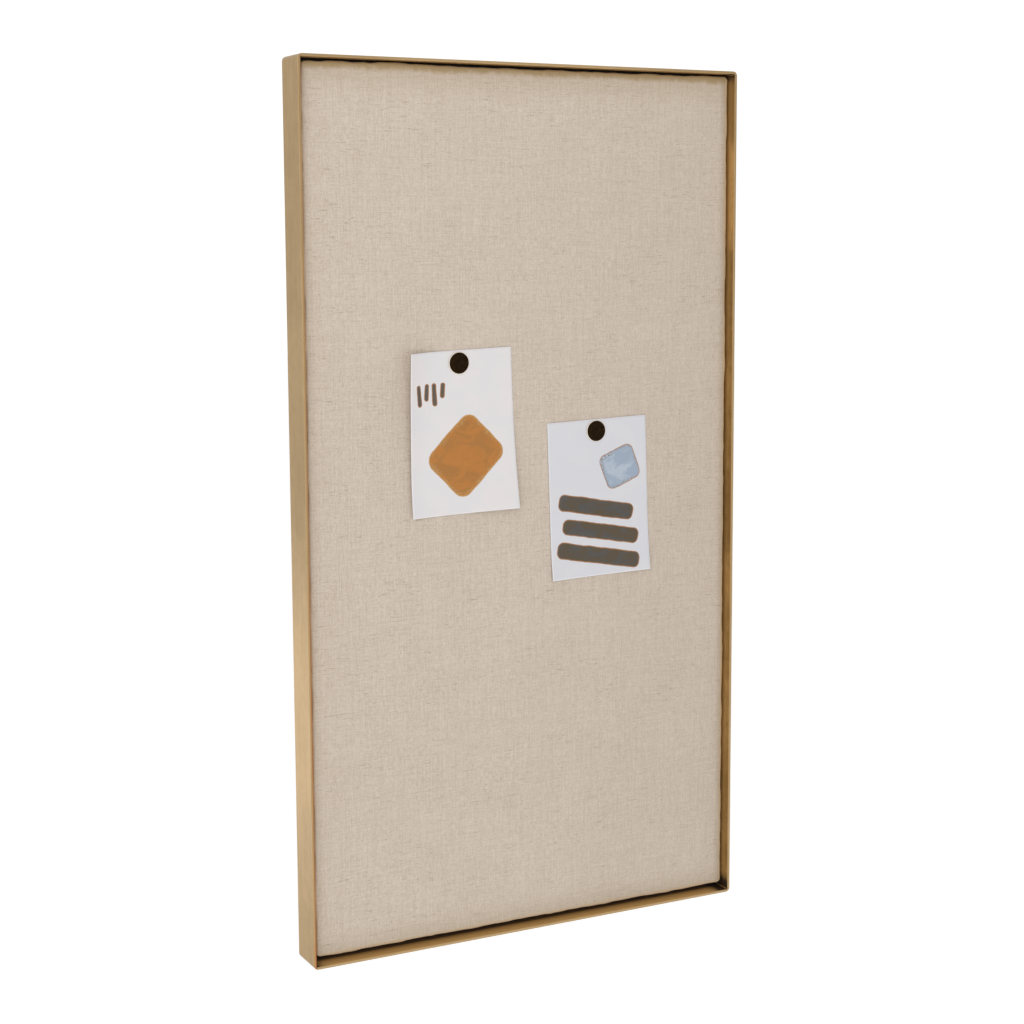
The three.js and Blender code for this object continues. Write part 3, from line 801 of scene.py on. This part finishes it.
def addWelds(finish):
    own = weldShape
    for upDown, signZ in (("top", 1), ("bottom", -1)):
        for leftRight, signX in (("left", -1), ("right", 1)):
            node = f"corner_weld_{upDown}_{leftRight}"
            low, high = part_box(node)
            cornerX = signX * innerHalf.x
            cornerZ = boardMid.z + signZ * innerHalf.z
            length = high.y - low.y
            rows = round(length / own["pitch"] * own["rowsPerRipple"])
            bm = bmesh.new()
            crown = bm.verts.layers.float.new("crown")
            bmesh.ops.create_grid(bm, x_segments=own["columns"], y_segments=rows, size=0.5)
            for vert in bm.verts:
                across = vert.co.x + 0.5
                run = (vert.co.y + 0.5) * length
                angle = across * math.pi / 2
                bow = math.sin(2 * angle)
                fromEnd = min(run, length - run) / own["endReach"]
                swell = math.sqrt(max(0.0, 1 - max(0.0, 1 - fromEnd) ** 2))
                beat = (run / own["pitch"] + own["rippleBow"] * bow) * 2 * math.pi
                drift = noise.noise(Vector((signX * 7, signZ * 5, run * own["unsteadyScale"])))
                bulge = own["body"] + own["unsteady"] * drift + own["ripple"] * bow * math.cos(beat)
                size = own["leg"] * swell * bulge
                vert[crown] = bow
                vert.co = Vector((
                    cornerX - signX * max(size * math.cos(angle) ** own["hollow"], 0.0),
                    low.y + run,
                    cornerZ - signZ * max(size * math.sin(angle) ** own["hollow"], 0.0),
                ))
            grown = bmesh.ops.extrude_face_region(bm, geom=bm.faces[:])
            for vert in vertsOf(grown["geom"]):
                vert.co.x = cornerX
                vert.co.z = cornerZ
            bmesh.ops.remove_doubles(bm, verts=bm.verts[:], dist=near["point"])
            bmesh.ops.dissolve_degenerate(bm, edges=bm.edges[:], dist=near["cut"])
            faceOut(bm)
            bead = pieceFrom(bm, f"weld_{upDown}_{leftRight}", [finish], [node])
            smoothed(bead, own["smoothLimit"])
    print("welds made")


# The linen: one cut of cloth, rolled over the edges and turned in behind
linenShape = {
    "cloth": 0.8 * mm,
    "cornerRadius": 4 * mm,
    "cornerSteps": 6,
    "roll": 2.2 * mm,
    "rollSteps": 6,
    "sideSteps": (0.35, 0.7, 1.0),
    "sideEase": 0.6,
    "rearRoll": 1.5 * mm,
    "rearSteps": 3,
    "rearPull": 0.3,
    "hem": 35 * mm,
    "hemSteps": 3,
    "cell": 6 * mm,
    "swell": 0.14 * mm,
    "swellScale": 14,
    "pucker": 1.4 * mm,
    "puckerMean": 0.4,
    "slow": {"scale": 24, "share": 0.9},
    "quick": {"scale": 85, "share": 0.8},
}


def edgePull(place):
    # how far the cloth stands out where it's pulled less between the fixings behind
    slow = linenShape["slow"]["share"] * unevenness(place.x, place.z, linenShape["slow"]["scale"], 3.1)
    quick = linenShape["quick"]["share"] * unevenness(place.x, place.z, linenShape["quick"]["scale"], 7.7)
    return max(0.0, linenShape["puckerMean"] + slow + quick) * linenShape["pucker"]


def addLinen(finish):
    own = linenShape
    width = linenHigh.x - linenLow.x
    height = linenHigh.z - linenLow.z
    middle = midOf("linen_cover")
    radius = own["cornerRadius"]
    roll = own["roll"]
    flatFront = Vector((middle.x, linenLow.y, middle.z))
    bm = bmesh.new()
    roundedFace(bm, width - 2 * roll, height - 2 * roll, flatFront, radius - roll, own["cornerSteps"])
    cutInSteps(bm, linenLow, linenHigh, radius, own["cell"])
    halfX = width / 2 - radius
    halfZ = height / 2 - radius

    def outward(place):
        nearX = max(-halfX, min(halfX, place.x - middle.x)) + middle.x
        nearZ = max(-halfZ, min(halfZ, place.z - middle.z)) + middle.z
        return Vector((place.x - nearX, 0, place.z - nearZ)).normalized()

    edges = [edge for edge in bm.edges if edge.is_boundary]
    starts = {}
    for vert in {vert for edge in edges for vert in edge.verts}:
        starts[vert] = (vert.co.copy(), outward(vert.co), edgePull(vert.co))

    # each ring is how far out and back it lies, and its share of the pull
    depth = linenHigh.y - linenLow.y
    rear = own["rearRoll"]
    straight = depth - roll - rear
    rings = []
    for angle in quarterTurn(own["rollSteps"], 1):
        rings.append((roll * math.sin(angle), roll * (1 - math.cos(angle)), math.sin(angle)))
    for share in own["sideSteps"]:
        rings.append((roll, roll + straight * share, 1 - own["sideEase"] * share))
    for angle in quarterTurn(own["rearSteps"], 1):
        out = roll - rear * (1 - math.cos(angle))
        rings.append((out, depth - rear + rear * math.sin(angle), own["rearPull"] * math.cos(angle)))
    for step in range(1, own["hemSteps"] + 1):
        share = step / own["hemSteps"]
        rings.append((roll - rear - (own["hem"] - rear) * share, depth, 0.0))
    for out, back, pull in rings:
        grown = bmesh.ops.extrude_edge_only(bm, edges=edges)["geom"]
        kept = {}
        for vert in vertsOf(grown):
            others = [edge.other_vert(vert) for edge in vert.link_edges]
            source = next(other for other in others if other in starts)
            place, way, slack = starts[source]
            kept[vert] = starts[source]
            vert.co = place + way * (out + slack * pull) + Vector((0, back, 0))
        starts = kept
        edges = edgesOf(grown)
    for vert in bm.verts:
        if vert.co.y < linenLow.y + near["face"]:
            vert.co.y += own["swell"] * unevenness(vert.co.x, vert.co.z, own["swellScale"], 0.3)
    faceOut(bm)
    probe = min(bm.faces, key=lambda face: (face.calc_center_median() - flatFront).length)
    if probe.normal.y > 0:
        bmesh.ops.reverse_faces(bm, faces=bm.faces[:])
    linen = pieceFrom(bm, "linen_cloth", [finish], ["linen_cover"])
    linen.data.shade_smooth()
    wall = linen.modifiers.new("cloth", "SOLIDIFY")
    wall.thickness = own["cloth"]
    wall.offset = -1
    wrap = 2 * (roll * (math.pi / 2 - 1) + straight + rear * (math.pi / 2 - 1) + own["hem"])
    width + wrap
    height + wrap
    print("linen made, cut", round((width + wrap) / mm), "x", round((height + wrap) / mm), "mm")


waddingShape = {
    "cornerRadius": 4 * mm,
    "cornerSteps": 4,
    "cell": 20 * mm,
    "edgeFall": 1.6 * mm,
    "edgeReach": 0.5 * mm,
    "fluff": 0.15 * mm,
    "fluffScale": 60,
    "smoothLimit": 60,
}


def addWadding(finish):
    own = waddingShape
    low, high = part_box("wadding")
    bm = bmesh.new()
    middle = midOf("wadding")
    middle.y = high.y
    radius = own["cornerRadius"]
    roundedFace(bm, high.x - low.x, high.z - low.z, middle, radius, own["cornerSteps"])
    cutInSteps(bm, low, high, radius, own["cell"])
    grown = bmesh.ops.extrude_face_region(bm, geom=bm.faces[:])
    for vert in vertsOf(grown["geom"]):
        edge = min(high.x - abs(vert.co.x), high.z - vert.co.z, vert.co.z - low.z)
        fall = own["edgeFall"] if edge < own["edgeReach"] else 0.0
        vert.co.y = low.y + fall + own["fluff"] * (1 + noise.noise(vert.co * own["fluffScale"]))
    faceOut(bm)
    pad = smoothed(pieceFrom(bm, "wadding_pad", [finish], ["wadding"]), own["smoothLimit"])
    print("wadding made")


# The backing board, which fits the strip so closely that no daylight shows past it
backShape = {"fit": 0.2 * mm}


def addBacking(finish):
    node = "backing_board"
    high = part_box(node)[1]
    bm = bmesh.new()
    bm.from_mesh(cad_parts[node].data)
    bmesh.ops.remove_doubles(bm, verts=bm.verts[:], dist=near["point"])
    for vert in bm.verts:
        fromMid = vert.co - boardMid
        if high.x - abs(fromMid.x) < near["face"]:
            vert.co.x = math.copysign(innerHalf.x - backShape["fit"], fromMid.x)
        if high.z - boardMid.z - abs(fromMid.z) < near["face"]:
            vert.co.z = boardMid.z + math.copysign(innerHalf.z - backShape["fit"], fromMid.z)
    faceOut(bm)
    pieceFrom(bm, "backing_fibreboard", [finish], [node]).data.shade_flat()
    print("backing board made")


# The cards. A pin's place is a share of the width from the middle and of the height from the top,
# and a curl is the way to its corner, then its reach and its radius in card widths
cardLook = {
    "width": 127 * mm,
    "height": 178 * mm,
    "thickness": 0.4 * mm,
    "columns": 54,
    "rows": 76,
    "cockle": 0.25 * mm,
    "cockleScale": 26,
    "cockleReach": 40 * mm,
    "left": {
        "tilt": 1.9,
        "pin": (-0.004, 0.078),
        "curls": [(-1, 0.175, 0.38, 0.75), (0.8, -0.62, 0.6, 2.1), (-0.8, -1, 0.3, 2.4)],
    },
    "right": {
        "tilt": 1.8,
        "pin": (-0.016, 0.074),
        "curls": [(0.7, -1, 0.43, 3.15), (-0.7, -1, 0.35, 3.3)],
    },
}


def curled(across, up, lift, curls):
    point = Vector((across, -lift, up))
    for towardX, towardZ, reach, radius in curls:
        way = Vector((towardX, 0, towardZ)).normalized()
        cornerX = math.copysign(cardLook["width"] / 2, towardX)
        cornerZ = math.copysign(cardLook["height"] / 2, towardZ)
        corner = Vector((cornerX, 0, cornerZ))
        past = reach * cardLook["width"] - (corner - Vector((across, 0, up))).dot(way)
        if past > 0:
            bend = radius * cardLook["width"]
            angle = past / bend
            arm = bend - lift
            point += way * (arm * math.sin(angle) - past)
            point.y -= bend - arm * math.cos(angle) - lift
    return point


def addCards():
    width = cardLook["width"]
    height = cardLook["height"]
    for name in ("left", "right"):
        own = cardLook[name]
        plain = paperFinish(f"cardPaper_{name}", name)
        printed = paperFinish(f"cardPrint_{name}", name, printDesigns[name])
        pin = midOf(f"pin_head_{name}")
        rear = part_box(f"card_{name}")[1].y
        bm = bmesh.new()
        bm.loops.layers.uv.new("card")
        bmesh.ops.create_grid(bm, x_segments=cardLook["columns"], y_segments=cardLook["rows"],
                              size=0.5, calc_uvs=True)
        pinAcross = own["pin"][0] * width
        pinUp = (0.5 - own["pin"][1]) * height
        tilt = Matrix.Rotation(-math.radians(own["tilt"]), 4, "Y")
        seat = Matrix.Translation((pin.x, rear, pin.z)) @ tilt
        for vert in bm.verts:
            across = vert.co.x * width
            up = vert.co.y * height
            point = curled(across, up, cardLook["thickness"], own["curls"])
            fromPin = Vector((across - pinAcross, 0, up - pinUp)).length
            wave = 0.5 + 0.5 * unevenness(across, up, cardLook["cockleScale"], 4.2)
            point.y -= cardLook["cockle"] * wave * min(1.0, fromPin / cardLook["cockleReach"])
            vert.co = seat @ (point - Vector((pinAcross, 0, pinUp)))
        bm.normal_update()
        if sum(face.normal.y for face in bm.faces) > 0:
            bmesh.ops.reverse_faces(bm, faces=bm.faces[:])
        slots = [printed, plain]
        card = pieceFrom(bm, f"print_card_{name}", slots, [f"card_{name}"], f"card_{name}")
        card.data.shade_smooth()
        wall = card.modifiers.new("stock", "SOLIDIFY")
        wall.thickness = cardLook["thickness"]
        wall.offset = -1
        wall.material_offset = 1
        wall.material_offset_rim = 1
    print("cards made")


# Pins
pinLook = {
    "dome": 0.7 * mm,
    "rim": 0.6 * mm,
    "socket": 1.2 * mm,
    "hole": 0.8 * mm,
    "rimSteps": 6,
    "domeSteps": 10,
    "steps": 96,
}


def addPins():
    own = pinLook
    rim = own["rim"]
    for name in ("left", "right"):
        node = f"pin_head_{name}"
        low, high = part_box(node)
        radius = (high.x - low.x) / 2
        flat = radius - rim
        front = low.y + own["dome"]
        profile = [
            (0, high.y - own["socket"]),
            (own["hole"], high.y - own["socket"]),
            (own["hole"], high.y),
            (flat, high.y),
            (radius, high.y - rim / 2),
        ]
        for angle in quarterTurn(own["rimSteps"]):
            profile.append((flat + rim * math.cos(angle), front + rim * (1 - math.sin(angle))))
        for step in range(1, own["domeSteps"] + 1):
            share = 1 - step / own["domeSteps"]
            profile.append((flat * share, low.y + own["dome"] * share * share))
        finish = [bronzeFinish(f"darkBronze_{name}", node)]
        spun(profile, midOf(node), own["steps"], f"flat_pin_{name}", finish, [node],
             f"pin_{name}")
    print("pins made")


# Screws with cross recesses and threads
screwLook = {
    "steps": 32,
    "recessWidth": 0.34,
    "recessArm": 0.62,
    "recessDepth": 0.75,
    "recessTaper": 0.45,
    "recessPast": 0.5 * mm,
    "tip": 1.4 * mm,
    "threadStart": 2.4 * mm,
    "threadEnd": 1.4 * mm,
    "threadPitch": 1.1 * mm,
    "threadDepth": 0.16,
    "crest": 0.4,
    "root": 0.8,
    "neck": 0.7 * mm,
    "panWall": 0.33,
    "panSteps": 7,
    "sunkWall": 0.12 * mm,
    "sunkChamfer": 0.1 * mm,
    "smoothLimit": 30,
}

screwKinds = {
    "tab_screw": {"shank": 1.7 * mm, "head": 3.6 * mm, "headDepth": 2.2 * mm, "pan": True},
    "panel_screw": {"shank": 2 * mm, "head": 4 * mm, "headDepth": 2.6 * mm, "pan": False},
    "plate_screw": {"shank": 1.5 * mm, "head": 2.9 * mm, "headDepth": 1.4 * mm, "pan": False},
}


def screwProfile(kind, tip, rear):
    # y grows from the tip to the head's rear face
    look = screwLook
    shank = kind["shank"]
    head = kind["head"]
    seat = rear - kind["headDepth"]
    thread = shank * (1 - look["threadDepth"])
    pitch = look["threadPitch"]
    points = [(0, tip), (thread * 0.5, tip + look["tip"])]
    y = tip + look["threadStart"]
    while y < seat - look["threadEnd"]:
        points += [(thread, y), (shank, y + pitch * look["crest"]), (thread, y + pitch * look["root"])]
        y += pitch
    points += [(shank, seat - look["neck"]), (shank, seat)]
    if kind["pan"]:
        depth = rear - seat
        wall = look["panWall"]
        points += [(head, seat), (head, seat + depth * wall)]
        for angle in quarterTurn(look["panSteps"], 1):
            points.append((head * math.cos(angle), seat + depth * (wall + (1 - wall) * math.sin(angle))))
        points[-1] = (0, rear)
    else:
        points += [(head, rear - look["sunkWall"]), (head - look["sunkChamfer"], rear), (0, rear)]
    return points


def crossCutter(kind, rear, turn, middle):
    # two tapered bars, crossed
    look = screwLook
    bm = bmesh.new()
    for quarter in (0, 1):
        made = bmesh.ops.create_cube(bm, size=1)
        for vert in made["verts"]:
            outer = vert.co.y > 0
            taper = 1.0 if outer else look["recessTaper"]
            vert.co.x *= kind["head"] * look["recessArm"] * 2 * taper
            vert.co.z *= kind["head"] * look["recessWidth"] * taper
            vert.co.y = rear + (look["recessPast"] if outer else -kind["headDepth"] * look["recessDepth"])
        spin = Matrix.Rotation(quarter * math.pi / 2 + turn, 4, "Y")
        bmesh.ops.transform(bm, matrix=spin, verts=made["verts"])
    bmesh.ops.translate(bm, verts=bm.verts[:], vec=(middle.x, 0, middle.z))
    faceOut(bm)
    return objectFrom(bm, "crossCutter")


def addScrew(node, kind, finish, draw):
    low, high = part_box(node)
    middle = midOf(node)
    profile = screwProfile(kind, low.y, high.y)
    screw = spun(profile, middle, screwLook["steps"], f"{node}_steel", [finish], [node])
    cutter = crossCutter(kind, high.y, draw.uniform(0, math.pi), middle)
    cut = screw.modifiers.new("recess", "BOOLEAN")
    cut.object = cutter
    cut.operation = "DIFFERENCE"
    cut.solver = "EXACT"
    cut.use_self = True
    shown = screw.evaluated_get(bpy.context.evaluated_depsgraph_get())
    finished = bpy.data.meshes.new_from_object(shown)
    screw.modifiers.clear()
    screw.data = finished
    smoothed(screw, screwLook["smoothLimit"])
    bpy.data.objects.remove(cutter)


def addScrews(finish):
    draw = random.Random(11)
    for node in sorted(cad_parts):
        for start, kind in screwKinds.items():
            if node.startswith(start):
                addScrew(node, kind, finish, draw)
    print("screws made")


bumperLook = {
    "round": 0.9 * mm,
    "roundSteps": 5,
    "steps": 48,
    "foot": 0.2 * mm,
    "dimple": 0.25 * mm,
    "dimpleShares": (0.55, 0.45),
}


def addBumpers(finish):
    bend = bumperLook["round"]
    foot = bumperLook["foot"]
    for upDown in ("top", "bottom"):
        for leftRight in ("left", "right"):
            node = f"wall_bumper_{upDown}_{leftRight}"
            low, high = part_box(node)
            radius = (high.x - low.x) / 2
            profile = [(0, low.y), (radius - foot, low.y), (radius, low.y + foot)]
            for angle in quarterTurn(bumperLook["roundSteps"]):
                profile.append((radius - bend * (1 - math.cos(angle)), high.y - bend * (1 - math.sin(angle))))
            brim, floor = bumperLook["dimpleShares"]
            sunk = high.y - bumperLook["dimple"]
            profile += [(radius * brim, high.y), (radius * floor, sunk), (0, sunk)]
            name = f"bumper_{upDown}_{leftRight}"
            spun(profile, midOf(node), bumperLook["steps"], name, [finish], [node])
    print("bumpers made")


def dressNode(node, finish):
    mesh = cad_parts[node].data
    mesh.materials.clear()
    mesh.materials.append(finish)


brassUpright = brassFinish("brassUpright", 2)
brassLevel = brassFinish("brassLevel", 0)
zinc = zincFinish()
steel = steelFinish()
addRails(brassUpright, brassLevel)
addWelds(weldFinish())
addLinen(linenFinish())
addWadding(woolFinish())
addBacking(backFinish())
addCards()
addPins()
addScrews(steel)
addBumpers(rubberFinish())
dressNode("cork_core", corkFinish())
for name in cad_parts:
    if name.startswith("frame_tab"):
        dressNode(name, brassUpright if "left" in name or "right" in name else brassLevel)
    elif name.startswith("keyhole_plate"):
        dressNode(name, zinc)
    elif name.startswith("pin_needle"):
        dressNode(name, steel)
print("carried-over pieces dressed")


# Stage, light and camera
stageLook = {
    "floorDrop": 0.62,
    "floorSize": 40,
    "floorGlow": 0.22,
    "floor": sRgb(250, 250, 250),
    "floorShade": sRgb(246, 246, 246),
    "shadeShare": 0.3,
    "shadeScale": 1.5,
    "front": 0.62,
    "behind": 1.06,
    "frontToBehind": (-0.4, 0.5),
    "lamps": {
        "key": {"place": (-1.25, -1.65, 0.35), "aim": (0.1, -0.04, -0.4), "size": (1.6, 1.6), "power": 12.5},
        "rim": {"place": (-0.58, 0.79, -0.86), "aim": (-0.27, -0.02, -0.63), "size": (0.3, 0.45),
                "power": 0.45},
    },
}


def addStage():
    look = stageLook
    scene = bpy.context.scene
    bm = bmesh.new()
    bmesh.ops.create_grid(bm, x_segments=1, y_segments=1, size=look["floorSize"] / 2)
    bmesh.ops.translate(bm, verts=bm.verts[:], vec=(0, 0, boardBox["bottom"] - look["floorDrop"]))
    floor = objectFrom(bm, "floor")
    glow = {"Emission Color": (1, 1, 1, 1), "Emission Strength": look["floorGlow"]}
    material, place = newFinish("paleFloor", {"Roughness": 0.9, "Specular IOR Level": 0.1, **glow})
    tone = grain(place, look["shadeScale"])
    feed(material, "Base Color", mixed(tone * look["shadeShare"], look["floor"], look["floorShade"]))
    floor.data.materials.append(material)

    # the room is white behind the board and dimmer in front of it
    world = bpy.data.worlds.new("studio")
    scene.world = world
    world.use_nodes = True
    y = axesOf(Wire(world.node_tree).make("TexCoord"))[1]
    level = y.ease(*look["frontToBehind"]) * (look["behind"] - look["front"]) + look["front"]
    level = level.above(y.make("LightPath") * look["behind"])
    background = world.node_tree.nodes["Background"]
    background.inputs["Color"].default_value = (1, 1, 1, 1)
    world.node_tree.links.new(level.socket, background.inputs["Strength"])

    for name, lamp in look["lamps"].items():
        light = bpy.data.lights.new(name, "AREA")
        light.shape = "RECTANGLE"
        light.size, light.size_y = lamp["size"]
        light.energy = lamp["power"]
        holder = linked(name, light)
        holder.visible_camera = False
        holder.location = lamp["place"]
        holder.rotation_euler = (Vector(lamp["aim"]) - holder.location).to_track_quat("-Z", "Y").to_euler()

    view = scene.view_settings
    view.view_transform = "Standard"
    view.look = "None"
    view.exposure = 0
    view.gamma = 1


cameraLook = {
    "place": (-0.98769, -1.89599, -0.11818),
    "yaw": -27.499,
    "pitch": -7.151,
    "roll": -0.278,
    "sensor": 36,
    "focalPixels": 1917.2,
    "imagePixels": 1024,
    "horizonRow": 480,
    "clip": (0.05, 100),
}


def addCamera():
    look = cameraLook
    data = bpy.data.cameras.new("camera")
    data.sensor_width = look["sensor"]
    data.lens = data.sensor_width * look["focalPixels"] / look["imagePixels"]
    data.shift_y = look["horizonRow"] / look["imagePixels"] - 0.5
    data.clip_start, data.clip_end = look["clip"]
    camera = linked("camera", data)
    turn = Matrix.Rotation(math.radians(look["yaw"]), 3, "Z")
    tip = Matrix.Rotation(math.radians(90 + look["pitch"]), 3, "X")
    lean = Matrix.Rotation(math.radians(look["roll"]), 3, "Z")
    camera.rotation_euler = (turn @ tip @ lean).to_euler()
    camera.location = look["place"]
    bpy.context.scene.camera = camera


addStage()
addCamera()
print("stage set")
